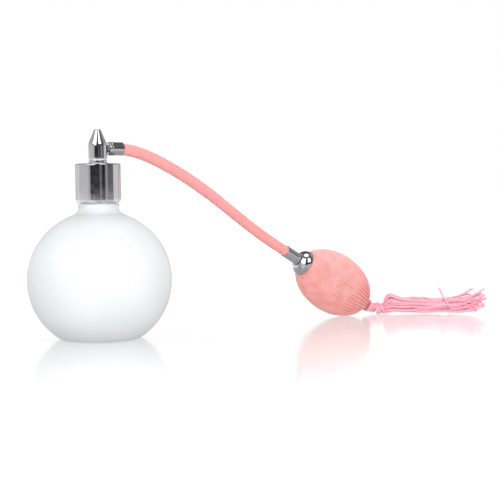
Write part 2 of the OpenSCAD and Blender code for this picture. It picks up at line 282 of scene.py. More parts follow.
route = [(x, 0, z) for x, z in HOSE_ROUTE]
path, run = smooth_route(route, 0.00022, passes=2)
sides = 112
angles = np.linspace(0, 2 * math.pi, sides, endpoint=False)
cell = 2 * math.pi * SLEEVE_R / BRAID_YARNS
height = braid_relief(angles[None, :] / (2 * math.pi), run[:, None], cell)
outer = ring_points(path, SLEEVE_R - BRAID_DEPTH * (1 - height), angles)
inner_path = path[::8] if (len(path) - 1) % 8 == 0 else np.vstack([path[::8], path[-1]])
inner = ring_points(inner_path, np.full((len(inner_path), sides), SLEEVE_BORE), angles)
points, faces = double_skin(outer, inner)
# Its relief also sets the yarn's colour; the bore's fixed 0.4 gives it painted shade inside the sleeve
hose_sleeve = new_piece("braided_hose", points, faces,
                        np.concatenate([height.ravel(), np.full(inner.size // 3, 0.4)]))

braid = Finish("pink_braid", Roughness=0.72, Sheen_Weight=0.35, Sheen_Roughness=0.45,
               Subsurface_Weight=0.12, Subsurface_Radius=(0.0012, 0.0005, 0.0005), Subsurface_Scale=1.0)
braid.shader.inputs["Sheen Tint"].default_value = linear(255, 214, 214)
# Painted shade darkens the braid's grooves and a painted highlight lightens its crests, both read from the
# relief
relief_shade_tone = braid.ramp(braid.relief(), (0.15, linear(142, 44, 46)), (0.5, linear(206, 111, 110)),
                  (0.92, linear(228, 160, 158)))
patchy = braid.mapped(braid.noise(260.0, 2.0), 0.35, 0.65, 0.0, 0.2)
braid.feed("Base Color", braid.mixed(patchy, relief_shade_tone, linear(222, 158, 158)))
braid.bump(braid.noise(9000.0, 2.0), 0.00006, 0.5)
dress(hose_sleeve, braid)
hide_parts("hose_sleeve")
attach(hose_sleeve, "head")


# ---- Bottle ----
# Blown soda-lime glass, frosted white with acid inside and out. The wall is 3 mm and the foot
# stands on a ring round a shallow push-up. The neck has a right-hand thread above its bead.

BODY_R, BODY_HALF_H, BODY_MID_Z = 0.0363, 0.0352, 0.0295
GLASS_T, FLOOR_T = 0.003, 0.005
BEAD_R, NECK_ROOT_R, NECK_CREST_R, NECK_BORE_R = 0.0105, 0.0089, 0.00975, 0.00675
FINISH_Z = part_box("glass_bottle")[1].z
COLLAR_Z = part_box("collar_shell")[0].z
COLLAR_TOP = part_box("collar_shell")[1].z
THREAD_PITCH, THREAD_TURNS = 0.0032, 1.6
# Where the neck's straight bore opens into the body
BORE_END_Z = 0.0625


def rounded(corners, step=0.0002):
    """An outline through (radius, height, rounding) corners, with an arc in place of each one."""
    out = []
    for i, (x, y, r) in enumerate(corners):
        here = Vector((x, y))
        if r <= 0 or i in (0, len(corners) - 1):
            out.append((x, y))
            continue
        back = (Vector(corners[i - 1][:2]) - here).normalized()
        on = (Vector(corners[i + 1][:2]) - here).normalized()
        half = back.angle(on) / 2
        reach = r / math.tan(half)
        centre = here + (back + on).normalized() * (r / math.sin(half))
        a, b = here + back * reach - centre, here + on * reach - centre
        count = max(3, int(a.angle(b) * r / step) + 1)
        for k in range(count + 1):
            t = k / count
            out.append(tuple(centre + (a.slerp(b, t)).normalized() * r))
    return out


def finer(outline, step):
    """The same outline with points no further apart than a step."""
    out = [outline[0]]
    for (x0, y0), (x1, y1) in zip(outline, outline[1:]):
        parts = max(1, int(math.hypot(x1 - x0, y1 - y0) / step))
        out += [(x0 + (x1 - x0) * k / parts, y0 + (y1 - y0) * k / parts) for k in range(1, parts + 1)]
    return out


def turned(name, outline, columns=128, lift=None, closed=False, matrix=None):
    """A body of revolution about Z. The outline runs with the solid on its left, seen with Z up
    and the radius to the right. lift(angles, r, z) gives extra radius; closed joins the ends."""
    angles = np.linspace(0, 2 * math.pi, columns, endpoint=False)
    points, rows = [], []
    for r, z in outline:
        if r < 1e-7:
            rows.append([len(points)])
            points.append((0, 0, z))
            continue
        reach = r + (lift(angles, r, z) if lift else 0) * np.ones(columns)
        rows.append(list(range(len(points), len(points) + columns)))
        points += list(zip(reach * np.cos(angles), reach * np.sin(angles), np.full(columns, z)))
    faces = []
    for a, b in list(zip(rows, rows[1:])) + ([(rows[-1], rows[0])] if closed else []):
        for k in range(columns):
            q = (k + 1) % columns
            if len(a) == 1 and len(b) == 1:
                break
            if len(a) == 1:
                faces.append((a[0], b[q], b[k]))
            elif len(b) == 1:
                faces.append((a[k], a[q], b[0]))
            else:
                faces.append((a[k], a[q], b[q], b[k]))
    if matrix is not None:
        points = [matrix @ Vector(p) for p in points]
    return new_piece(name, points, faces)


def thread_ridge(angles, r, z):
    """The screw thread's height at one level of the neck, all round."""
    if abs(r - NECK_ROOT_R) > 1e-6 or not COLLAR_Z < z < FINISH_Z - 0.0005:
        return 0
    low = FINISH_Z - 0.002 - THREAD_TURNS * THREAD_PITCH
    ridge = np.zeros_like(angles)
    for turn in range(3):
        wound = turn + angles / (2 * math.pi)
        gap = np.abs(z - low - THREAD_PITCH * wound)
        ends = np.clip(np.minimum(wound, THREAD_TURNS - wound) / 0.12, 0, 1)
        shape = np.clip((0.00105 - gap) / 0.0006, 0, 1)
        ridge = np.maximum(ridge, (NECK_CREST_R - NECK_ROOT_R) * ends * shape * shape * (3 - 2 * shape))
    return ridge


def oval_arc(r, h, mid, a, b, count):
    """Points on an oval of half width r and half height h about a middle, from angle a to b."""
    places = [a + (b - a) * k / count for k in range(count + 1)]
    return [(r * math.cos(t), mid + h * math.sin(t)) for t in places]


def oval_side(r, h, mid, from_z, to_z, count):
    """Points up or down the side of an oval, between two heights."""
    return oval_arc(r, h, mid, math.asin((from_z - mid) / h), math.asin((to_z - mid) / h), count)


shoulder_z = BODY_MID_Z + BODY_HALF_H * math.sin(math.acos((BEAD_R + 0.0022) / BODY_R))
foot = [(0, 0.0009), (0.006, 0.00085), (0.012, 0.00055), (0.0148, 0.0002), (0.0162, 0.00004), (0.0172, 0),
        (0.0184, 0.00002), (0.0193, 0.00014), (0.0201, 0.0004), (0.0208, 0.00078)]
body = oval_side(BODY_R, BODY_HALF_H, BODY_MID_Z, 0.0012, shoulder_z, 110)
shoulder = [(BEAD_R + 0.00165, shoulder_z + 0.00027), (BEAD_R + 0.0011, shoulder_z + 0.00066),
            (BEAD_R + 0.00062, shoulder_z + 0.00112), (BEAD_R + 0.0002, shoulder_z + 0.0017),
            (BEAD_R - 0.00008, shoulder_z + 0.0023), (BEAD_R - 0.00022, COLLAR_Z - 0.0029),
            (BEAD_R - 0.00018, COLLAR_Z - 0.0026), (BEAD_R - 0.00002, COLLAR_Z - 0.0023)]
neck = rounded([(BEAD_R, COLLAR_Z - 0.0022, 0), (BEAD_R, COLLAR_Z - 0.0003, 0.0006),
                (NECK_ROOT_R, COLLAR_Z - 0.0003, 0.0002), (NECK_ROOT_R, FINISH_Z, 0.0005),
                (NECK_BORE_R, FINISH_Z, 0.0005), (NECK_BORE_R, BORE_END_Z, 0)])
neck = [p for p in finer(neck, 0.00022) if p[1] > BORE_END_Z]
inside_r, inside_h = BODY_R - GLASS_T, BODY_HALF_H - GLASS_T
bore_z = BODY_MID_Z + inside_h * math.sin(math.acos((NECK_BORE_R + 0.0004) / inside_r))
hollow = [(NECK_BORE_R, BORE_END_Z - 0.0003), (NECK_BORE_R + 0.0001, BORE_END_Z - 0.001)]
hollow += oval_side(inside_r, inside_h, BODY_MID_Z, bore_z - 0.0001, FLOOR_T + 0.0035, 70)
hollow += [(0.0235, FLOOR_T + 0.0026), (0.0222, FLOOR_T + 0.0012), (0.0205, FLOOR_T + 0.0004),
           (0.018, FLOOR_T), (0, FLOOR_T)]
bottle = turned("frosted_bottle", foot + body + shoulder + neck + hollow, 180, lift=thread_ridge)

frost = Finish("frosted_glass", Transmission_Weight=0.5, IOR=1.46)
frost.worn(140.0, 4.0, 0.5, 0.6)
frost.clouded(60.0, 3.0, linear(243, 245, 246), linear(248, 250, 251))
frost.bump(frost.noise(5200.0, 3.0), 0.00004, 0.35)
dress(bottle, frost)
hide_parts("glass_bottle")
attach(bottle, "bottle")


# ---- Collar ----
# A drawn and chrome-plated cap shell, 0.4 mm thick. Its top edge is drawn over a radius and its
# lower edge is curled inwards, round a moulded liner that carries the thread.

COLLAR_R, COLLAR_HOLE_R = 0.0113, 0.0035
SHELL_T, LID_T, CURL = 0.0004, 0.0007, 0.0007
collar_outline = rounded([
    (COLLAR_HOLE_R, COLLAR_TOP - LID_T, 0), (COLLAR_HOLE_R, COLLAR_TOP, 0.0002),
    (COLLAR_R, COLLAR_TOP, 0.0007), (COLLAR_R, COLLAR_Z, 0.00022),
    (COLLAR_R - CURL, COLLAR_Z, 0.00015), (COLLAR_R - CURL, COLLAR_Z + SHELL_T, 0.0001),
    (COLLAR_R - SHELL_T, COLLAR_Z + SHELL_T, 0.0001),
    (COLLAR_R - SHELL_T, COLLAR_TOP - LID_T, 0.0002)], 0.00012)[::-1]
collar = turned("chrome_collar", finer(collar_outline, 0.0012), 160, closed=True)


# Bright chrome: a mirror under a faint haze of handling marks
chrome = Finish("chrome_plate", Metallic=1.0)
chrome.clouded(95.0, 4.0, linear(184, 184, 187), linear(178, 178, 182), most=0.5)
chrome.feed("Roughness", chrome.mapped(chrome.noise(420.0, 5.0), 0.3, 0.75, 0.04, 0.09))
chrome.bump(chrome.noise(1500.0, 2.0), 0.000004, 0.12)
dress(collar, chrome)
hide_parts("collar_shell")
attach(collar, "collar")


# ---- Spray head ----
# A chrome-plated bullet with a coned nose, on a loose ring. The nozzle sits in a hole on the side
# away from the hose, and the air spigot comes out on the other side.

HEAD_R = 0.0046
HEAD_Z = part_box("spray_head")[0].z
HEAD_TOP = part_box("spray_head")[1].z
CONE_Z = HEAD_TOP - 0.0071
ROOM_Z = CONE_Z - 0.0006
CORE_R, TIP_R = 0.0041, 0.0016
JET_HOLE_R, AIR_HOLE_R = 0.00115, 0.00125
bullet_outline = rounded([(0, ROOM_Z, 0), (CORE_R, ROOM_Z, 0), (CORE_R, HEAD_Z, 0.00005),
                          (HEAD_R, HEAD_Z, 0.0003), (HEAD_R, CONE_Z, 0.006),
                          (TIP_R, HEAD_TOP, 0.0006), (0, HEAD_TOP, 0)], 0.00008)
bullet = turned("spray_head_shell", finer(bullet_outline, 0.0005), 144)


def rod(name, start, end, radius, columns=64):
    """A plain round bar between two points, used as a cutter."""
    a, b = Vector(start), Vector(end)
    turn = (b - a).to_track_quat("Z", "Y").to_matrix().to_4x4()
    long = (b - a).length
    outline = [(0, 0), (radius, 0), (radius, long), (0, long)]
    return turned(name, outline, columns, matrix=Matrix.Translation(a) @ turn)


def cut(piece, cutter):
    """Takes the cutter's shape out of the piece, and removes the cutter."""
    change = piece.modifiers.new("cut", "BOOLEAN")
    change.object, change.operation, change.solver = cutter, "DIFFERENCE", "EXACT"
    bpy.context.view_layer.update()
    done = bpy.data.meshes.new_from_object(piece.evaluated_get(bpy.context.evaluated_depsgraph_get()))
    piece.modifiers.clear()
    piece.data = done
    bpy.data.objects.remove(cutter)
    piece.data.set_sharp_from_angle(angle=math.radians(38))
    return piece


JET_Z = (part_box("nozzle_insert")[0].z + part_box("nozzle_insert")[1].z) / 2
AIR_Z = (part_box("air_spigot")[0].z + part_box("air_spigot")[1].z) / 2
cut(bullet, rod("nozzle_cutter", (-0.006, 0, JET_Z), (-0.003, 0, JET_Z), JET_HOLE_R))
cut(bullet, rod("spigot_cutter", (0.003, 0, AIR_Z), (0.006, 0, AIR_Z), AIR_HOLE_R))
dress(bullet, chrome)
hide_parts("spray_head")
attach(bullet, "head")

RING_LOW, RING_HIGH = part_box("head_ring")[0].z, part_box("head_ring")[1].z
RING_BORE_R, RING_R = 0.00305, HEAD_R + 0.00005
ring_outline = rounded([(RING_BORE_R, RING_LOW + 0.0001, 0), (RING_BORE_R, RING_HIGH, 0.0001),
                        (RING_R, RING_HIGH, 0.00035), (RING_R, RING_LOW, 0.00035),
                        (RING_BORE_R, RING_LOW, 0.0001)], 0.00006)[::-1]
head_ring = turned("swivel_ring", ring_outline, 128, closed=True)
dress(head_ring, chrome)
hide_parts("head_ring")
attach(head_ring, "head")


# ---- Ferrules ----
# Two short chrome sleeves, crimped over the braid: one on the head's spigot and one on the bulb.

FERRULE_R, FERRULE_BORE, SPIGOT_R = 0.0034, 0.0031, 0.00125
FERRULE_BACK, BULB_FERRULE_L = 0.0008, 0.010


def ferrule(name, length, matrix):
    """A sleeve with a rounded back, a small bead and a slightly rolled mouth, standing on Z = 0."""
    outline = rounded([
        (SPIGOT_R, 0, 0.0001), (FERRULE_R, 0, 0.0006), (FERRULE_R, 0.0011, 0.0002),
        (FERRULE_R - 0.00014, 0.0014, 0.0002), (FERRULE_R, 0.0017, 0.0002), (FERRULE_R, length, 0.00014),
        (FERRULE_BORE, length, 0.0001), (FERRULE_BORE, FERRULE_BACK, 0.0001),
        (SPIGOT_R, FERRULE_BACK, 0.0001)], 0.00007)
    return turned(name, finer(outline, 0.0008), 112, closed=True, matrix=matrix)


ferrule_low, ferrule_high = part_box("head_ferrule")
at_head = Matrix.Translation((ferrule_low.x, 0, AIR_Z)) @ Matrix.Rotation(math.radians(90), 4, "Y")
head_ferrule = ferrule("ferrule_at_head", ferrule_high.x - ferrule_low.x, at_head)
dress(head_ferrule, chrome)
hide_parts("head_ferrule")
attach(head_ferrule, "head")

# The bulb's own axis runs down and away from the bottle, from its cap to its tail
squeeze = next(j for j in frame["joints"] if j["name"] == "bulb_squeeze")
BULB_SLOPE = math.atan2(squeeze["axis"][2], -squeeze["axis"][0])
BULB_HALF_L, BULB_R = 0.0261, 0.01735
BULB_REST_Z = math.hypot(BULB_HALF_L * math.sin(BULB_SLOPE), BULB_R * math.cos(BULB_SLOPE))
BULB_MIDDLE = Vector((0.1494, 0, BULB_REST_Z))
AT_BULB = Matrix.Translation(BULB_MIDDLE) @ Matrix.Rotation(math.pi / 2 + BULB_SLOPE, 4, "Y")
CAP_TOP, CAP_RIM = -0.0292, -0.0242
on_cap = AT_BULB @ Matrix.Translation((0, 0, CAP_TOP - 0.0001)) @ Matrix.Rotation(math.pi, 4, "X")
bulb_ferrule = ferrule("ferrule_at_bulb", BULB_FERRULE_L, on_cap)
dress(bulb_ferrule, chrome)
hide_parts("bulb_ferrule")
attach(bulb_ferrule, "head")


# ---- Bulb cap ----
# A spun chrome dome that hides the bulb's mouth. Its rim is curled in over the net.

CAP_R, CAP_DEPTH, CAP_T = 0.0074, 0.00588, 0.0005
CAP_FLAT_R, CAP_FLAT_INSIDE_R = 0.0039, 0.0037


def dome(r, depth, flat_r, count):
    """A quarter of an oval from the rim up to a flat of that radius."""
    return oval_arc(r, -depth, CAP_RIM, 0, math.acos(flat_r / r), count)


cap_outline = [(SPIGOT_R, CAP_TOP)] + dome(CAP_R, CAP_DEPTH, CAP_FLAT_R, 40)[::-1]
cap_outline += [(CAP_R - 0.00004, CAP_RIM + 0.0001), (CAP_R - 0.0002, CAP_RIM + 0.00016),
                (CAP_R - CAP_T, CAP_RIM + 0.00008)]
cap_outline += dome(CAP_R - CAP_T, CAP_DEPTH - CAP_T, CAP_FLAT_INSIDE_R, 30)
cap_outline += [(SPIGOT_R, CAP_TOP + CAP_T)]
bulb_cap = turned("bulb_cap_dome", cap_outline, 144, closed=True, matrix=AT_BULB)
dress(bulb_cap, chrome)
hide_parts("bulb_cap")
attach(bulb_cap, "head")


# ---- Bulb bladder ----
# The squeezed part: pink latex, 1.5 mm thick, dipped in one piece with a mouth at each end.

MOUTH_R, TAIL_R = 0.00325, 0.00245
MOUTH_U, TAIL_U = -0.0265, 0.0256
UNDER_NET, LATEX_T, MOUTH_T, TAIL_T = 0.0009, 0.0015, 0.0013, 0.001


def bulb_side(r, half_l, from_r, to_r, count):
    """Points along the side of the bulb's oval, from a radius near its mouth to one near its tail."""
    return oval_arc(r, half_l, 0, -math.acos(from_r / r), math.acos(to_r / r), count)


outside_r, outside_l = BULB_R - UNDER_NET, BULB_HALF_L - UNDER_NET
bladder_outline = [(MOUTH_R, MOUTH_U), (MOUTH_R + MOUTH_T, MOUTH_U)]
bladder_outline += bulb_side(outside_r, outside_l, MOUTH_R + MOUTH_T, TAIL_R + TAIL_T, 60)
bladder_outline += [(TAIL_R + TAIL_T, TAIL_U), (TAIL_R, TAIL_U)]
bladder_outline += bulb_side(outside_r - LATEX_T, outside_l - LATEX_T, MOUTH_R, TAIL_R, 50)[::-1]
bladder = turned("rubber_bladder", bladder_outline, 96, closed=True, matrix=AT_BULB)
latex = Finish("pink_latex", Roughness=0.5, IOR=1.52)
latex.clouded(160.0, 3.0, linear(228, 138, 132), linear(238, 152, 146))
latex.bump(latex.noise(900.0, 4.0), 0.00005, 0.4)
dress(bladder, latex)
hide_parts("bulb_bladder")
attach(bladder, "head")


# ---- Bulb net ----
# A knitted tube of the hose's pink yarn, stretched over the bladder. Its ribs run from the cap to
# the tail, where they crowd together and are gathered into a short neck.

RIBS = 96
STITCH = 0.00125
NET_EDGE = -0.0244
NET_T = 0.0006
RIB_DEPTH, PLEAT_DEPTH = 0.0006, 0.0006

edge_r = BULB_R * math.sqrt(1 - (NET_EDGE / BULB_HALF_L) ** 2)
net_side = bulb_side(BULB_R, BULB_HALF_L, edge_r, 0.0056, 120)
net_neck = [(0.0048, 0.0256), (0.0041, 0.0264), (0.0035, 0.0272), (0.00295, 0.028),
            (0.0026, 0.0287), (0.00255, 0.0293), (0.0028, 0.03)]
shape, along = smooth_route([(r, 0, u) for r, u in net_side[::4] + net_neck], 0.00036)
columns = RIBS * 6
angles = np.linspace(0, 2 * math.pi, columns, endpoint=False)
crowding = np.clip(shape[:, 0] / 0.012, 0, 1)[:, None]
rib_wave = np.abs(np.cos(RIBS / 2 * angles))[None, :] ** 0.8
across = ((RIBS * angles / (2 * math.pi) + 0.5) % 1 - 0.5)[None, :]
stitch_wave = 0.5 + 0.5 * np.cos(2 * math.pi * (along[:, None] / STITCH + 1.1 * np.abs(across)))
gather = np.clip((shape[:, 2:] - 0.002) / 0.012, 0, 1)
pleats = (0.5 + 0.5 * np.cos(RIBS / 2 * angles + 0.5 * np.sin(5 * angles)))[None, :] * gather
relief = np.clip(rib_wave * (0.5 + 0.5 * stitch_wave), 0, 1)
drop = RIB_DEPTH * (0.25 + 0.75 * crowding) * (1 - relief)
drop = drop + PLEAT_DEPTH * pleats * np.clip(shape[:, 0] / 0.006, 0, 1)[:, None]


def rings_about_z(radii, heights):
    """Rings of points about Z, one at each height."""
    levels = np.repeat(heights, columns, axis=1)
    return np.stack([radii * np.cos(angles), radii * np.sin(angles), levels], axis=2)


outer = rings_about_z(np.maximum(shape[:, :1] - drop, 0.0016), shape[:, 2:])
inner_rows = list(range(0, len(shape), 6)) + ([len(shape) - 1] if (len(shape) - 1) % 6 else [])
inner_r = np.maximum(shape[inner_rows, 0] - NET_T - 0.0001, 0.0013)[:, None]
inner = rings_about_z(inner_r, shape[inner_rows, 2:])
points, faces = double_skin(outer, inner)
# The net is pressed flat where it rests on the table
points = [AT_BULB @ Vector(p) for p in points]
points = [Vector((p.x, p.y, max(p.z, 0.0))) for p in points]
# Its relief sets the net's colour: painted shade in the grooves between ribs, deeper painted shade in the
# neck's pleats, and a fixed painted shade on the inside
net = new_piece("bulb_net_cover", points, faces,
                np.concatenate([(relief * (1 - 0.5 * pleats)).ravel(), np.full(inner.size // 3, 0.3)]))

knit = Finish("pink_knit", Roughness=0.75, Sheen_Weight=0.4, Sheen_Roughness=0.4,
              Subsurface_Weight=0.12, Subsurface_Radius=(0.0014, 0.0006, 0.0006), Subsurface_Scale=1.0)
knit.shader.inputs["Sheen Tint"].default_value = linear(255, 212, 214)
# Painted shade in the grooves and a painted highlight on the rib tops, both read from the relief
relief_shade_tone = knit.ramp(knit.relief(), (0.1, linear(172, 66, 64)), (0.5, linear(234, 146, 140)),
                 (0.95, linear(254, 202, 197)))
patchy = knit.mapped(knit.noise(200.0, 2.0), 0.35, 0.65, 0.0, 0.25)
knit.feed("Base Color", knit.mixed(patchy, relief_shade_tone, linear(248, 196, 195)))
knit.bump(knit.noise(7000.0, 2.0), 0.00006, 0.5)
dress(net, knit)
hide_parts("bulb_net")
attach(net, "head")
for soft in (bladder, net):
    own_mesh(soft)


# ---- Drawstring ----
# Two turns of the tassel's cord, pulled tight round the net's gathered neck.

TASSEL_PINK = linear(238, 158, 175)
# The next two colours are painted shade for the grooves between plies and painted highlight for the plies'
# crests
TASSEL_GROOVE_SHADE = linear(216, 112, 134)
TASSEL_PLY_HIGHLIGHT = linear(248, 192, 205)
# How deep the groove between two plies is, as a share of the cord's radius
PLY_GROOVE = 0.2


def cord_points(path, radius, sides, plies, lay, phase):
    """Rings round a twisted cord; each of its plies shows as a ridge that winds once a lay."""
    angles = np.linspace(0, 2 * math.pi, sides, endpoint=False)
    step = np.concatenate([[0], np.cumsum(np.linalg.norm(np.diff(path, axis=0), axis=1))])
    ridge = np.abs(np.cos(plies / 2 * (angles[None, :] - 2 * math.pi * step[:, None] / lay + phase)))
    return ring_points(path, radius * (1 - PLY_GROOVE * (1 - ridge)), angles), ridge


def cord_bundle(name, cords, sides=10, plies=3):
    """Several twisted cords as one mesh. Each cord is (path, radius, lay), and its ends taper shut."""
    points, faces, relief = [], [], []
    for number, (path, radius, lay) in enumerate(cords):
        rings, ridge = cord_points(path, radius, sides, plies, lay, number * 1.3)
        ends = np.array([0.35 if i in (0, len(path) - 1) else 1.0 for i in range(len(path))])[:, None, None]
        rings = path[:, None, :] + (rings - path[:, None, :]) * ends
        first = len(points)
        points += list(rings.reshape(-1, 3))
        relief += list(ridge.ravel())
        faces += grid_faces(len(path), sides, first)
        faces.append(tuple(first + k for k in range(sides))[::-1])
        faces.append(tuple(first + (len(path) - 1) * sides + k for k in range(sides)))
    return new_piece(name, points, faces, relief)


def placed(matrix, path):
    """A path moved by a matrix."""
    return np.array([matrix @ Vector(p) for p in path])


# Rayon cord: a soft sheen, with a painted highlight along each ply and painted shade in the grooves
rayon = Finish("pink_rayon", Roughness=0.42, Sheen_Weight=0.3, Sheen_Roughness=0.35, IOR=1.5,
               Subsurface_Weight=0.15, Subsurface_Radius=(0.0014, 0.0006, 0.0008), Subsurface_Scale=1.0)
rayon.shader.inputs["Sheen Tint"].default_value = linear(255, 220, 230)
relief_shade_tone = rayon.ramp(rayon.relief(), (0.05, TASSEL_GROOVE_SHADE), (0.5, TASSEL_PINK), (1.0, TASSEL_PLY_HIGHLIGHT))
patchy = rayon.mapped(rayon.noise(170.0, 2.0), 0.35, 0.7, 0.0, 0.4)
rayon.feed("Base Color", rayon.mixed(patchy, relief_shade_tone, linear(246, 172, 190)))
rayon.bump(rayon.noise(6000.0, 2.0), 0.00005, 0.4)

TIE_R, TIE_U, TIE_RISE = 0.00315, 0.0287, 0.00095
turns = np.linspace(0, 2 * 2 * math.pi, 120)
wound = np.stack([TIE_R * np.cos(turns), TIE_R * np.sin(turns),
                  TIE_U + TIE_RISE * turns / (2 * math.pi)], axis=1)
drawstring = cord_bundle("net_tie", [(placed(AT_BULB, wound), 0.0005, 0.0016)], sides=12)
dress(drawstring, rayon)
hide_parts("net_drawstring")
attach(drawstring, "head")


# ---- Tassel knot ----
# Three cords from the net's neck are tied in one overhand knot that lies on the table.

pivot = next(j for j in frame["joints"] if j["name"] == "tassel_swing")["pos_m"]
TASSEL_TURN = math.radians(-42)
AT_TASSEL = Matrix.Translation((pivot[0], 0, 0)) @ Matrix.Rotation(TASSEL_TURN, 4, "Z")
chance = np.random.default_rng(20)
t = np.linspace(0, 2 * math.pi, 180)
trefoil = np.stack([-np.sin(3 * t), np.sin(t) + 2 * np.sin(2 * t), np.cos(t) - 2 * np.cos(2 * t)], axis=1)
knot_cords = []
for shift in (-1, 0, 1):
    loop = trefoil * np.array([0.001, 0.00052, 0.00078]) * (1 + 0.07 * shift)
    loop = loop + np.array([0.0002 + 0.0006 * shift, 0.0001 * shift, 0.0038])
    knot_cords.append((placed(AT_TASSEL, loop), 0.00072, 0.0026))
knot = cord_bundle("tassel_knot_cords", knot_cords, sides=14)
dress(knot, rayon)
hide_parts("tassel_knot")
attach(knot, "tassel")


# ---- Tassel binding ----
# Five uneven turns of the tassel's own cord hold its head together behind the knot, and three
# strands of it cross over the others.

BIND_FROM, BIND_TO, BIND_R, BIND_Z = 0.0028, 0.0076, 0.0024, 0.0032
turns = np.linspace(0, 5 * 2 * math.pi, 320)
wobble = 0.00022 * np.sin(0.63 * turns + 0.6) + 0.00012 * np.sin(1.7 * turns)
wound = np.stack([BIND_FROM + (BIND_TO - BIND_FROM) * turns / turns[-1] + wobble,
                  (BIND_R + 0.2 * wobble) * np.cos(turns), BIND_Z + BIND_R * 1.02 * np.sin(turns)], axis=1)
crossings = [(wound, 0.00062, 0.0022)]
for start, lean, side in ((0.0026, 0.0046, 0.9), (0.0040, -0.0012, -0.6), (0.0030, 0.0040, -2.2)):
    arc = np.linspace(side - 1.2, side + 1.2, 40)
    lift = BIND_R + 0.00075 * np.sin(np.linspace(0.25, math.pi - 0.25, 40))
    crossings.append((np.stack([start + lean * np.linspace(0, 1, 40), -lift * np.sin(arc),
                                np.maximum(BIND_Z + lift * np.cos(arc), 0.0006)], axis=1), 0.00058, 0.0022))
crossings = [(placed(AT_TASSEL, path), radius, lay) for path, radius, lay in crossings]
binding = cord_bundle("tassel_binding_cord", crossings, sides=12)
dress(binding, rayon)
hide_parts("tassel_binding")
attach(binding, "tassel")


# ---- Tassel cords ----
# Thirty-six satin cords, 1.4 mm thick, loop up as they leave the binding and then lie together in
# a soft pile. They cross and wave a little, and their cut ends turn up and fray into threads.

CORDS = 36
CORD_R = 0.0007
SKIRT_FROM = 0.0066
STATIONS = 72
FRAYS, FRAY_R = 10, 0.0002
# How far along, the middle's height, half the height, half the width
PILE = np.array([(0.0066, 0.0033, 0.0021, 0.0021), (0.0082, 0.0048, 0.0038, 0.0036),
                 (0.0100, 0.0060, 0.0054, 0.0050), (0.0130, 0.0058, 0.0051, 0.0056),
                 (0.0180, 0.0051, 0.0042, 0.0057), (0.0350, 0.0050, 0.0041, 0.0062),
                 (0.0500, 0.0054, 0.0046, 0.0067), (0.0640, 0.0062, 0.0058, 0.0078)])


def apart(cords, radius, rounds):
    """Pushes cords apart, station by station, and smooths each one, until they lie side by side."""
    for _ in range(rounds):
        gap = cords[:, None, :, 1:] - cords[None, :, :, 1:]
        far = np.linalg.norm(gap, axis=3) + 1e-9
        push = np.clip(2 * radius * 0.98 - far, 0, None)
        push[np.arange(len(cords)), np.arange(len(cords))] = 0
        cords[:, 3:, 1:] += 0.32 * (gap / far[..., None] * push[..., None]).sum(axis=1)[:, 3:]
        cords[:, 1:-1, 1:] += 0.10 * ((cords[:, :-2, 1:] + cords[:, 2:, 1:]) / 2 - cords[:, 1:-1, 1:])
        cords[:, :, 2] = np.maximum(cords[:, :, 2], radius)
    return cords


share = np.linspace(0, 1, STATIONS)
cords = np.zeros((CORDS, STATIONS, 3))
ups = np.zeros(CORDS)
for n in range(CORDS):
    spin, reach = 2.39996 * n, 0.9 * math.sqrt((n + 0.5) / CORDS)
    end = chance.uniform(0.0575, 0.0660) - (0.008 if n % 7 == 4 else 0.0)
    cords[n, :, 0] = SKIRT_FROM + (end - SKIRT_FROM) * share
    drift = chance.uniform(-0.55, 0.55) * share
    middle, high, wide_by = (np.interp(cords[n, :, 0], PILE[:, 0], PILE[:, k]) for k in (1, 2, 3))
    beat_a, beat_b, phase_a, phase_b = *chance.uniform(0.018, 0.032, 2), *chance.uniform(0, 2 * math.pi, 2)
    free = np.clip((cords[n, :, 0] - 0.009) / 0.012, 0, 1)
    cords[n, :, 1] = reach * np.cos(spin + drift) * wide_by + 0.0007 * free * np.sin(
        2 * math.pi * cords[n, :, 0] / beat_a + phase_a)
    cords[n, :, 2] = middle + reach * np.sin(spin + drift) * high + 0.0006 * free * np.sin(
        2 * math.pi * cords[n, :, 0] / beat_b + phase_b)
    ups[n] = math.sin(spin + drift[-1]) * reach
cords = apart(cords, CORD_R, 150)

# The upper cords loop up behind the binding
for n in range(CORDS):
    rising = max(ups[n], 0.0) * (0.0042 if n % 2 else 0.0028)
    peak = 0.0098 + chance.uniform(-0.0006, 0.0010)
    spread = np.where(cords[n, :, 0] < peak, 0.0018, 0.0042)
    cords[n, :, 2] += rising * np.exp(-((cords[n, :, 0] - peak) / spread) ** 2)

# The last quarter of each cord turns up and strays sideways
for n in range(CORDS):
    last = np.clip((share - 0.74) / 0.26, 0, 1)
    turned_up = (0.0050 if n % 3 == 0 else 0.0022) * (0.45 + 0.55 * max(ups[n], 0.0))
    cords[n, :, 2] += turned_up * last ** 1.7
    cords[n, :, 1] += chance.uniform(-0.0022, 0.0022) * last ** 1.5
    cords[n, :, 0] -= turned_up * 0.35 * last ** 2.2

skirt_cords = [(placed(AT_TASSEL, path), CORD_R * chance.uniform(0.93, 1.04), 0.0045) for path in cords]

# One cord has come up out of the pile, and its end stands over the others
stray = [(0.0490, -0.0042, 0.0030), (0.0465, -0.0050, 0.0040), (0.0450, -0.0056, 0.0056),
         (0.0435, -0.0052, 0.0082), (0.0415, -0.0044, 0.0112), (0.0400, -0.0040, 0.0145)]
path, _ = smooth_route(stray, 0.0006)
skirt_cords.append((placed(AT_TASSEL, path), CORD_R * 0.92, 0.0045))

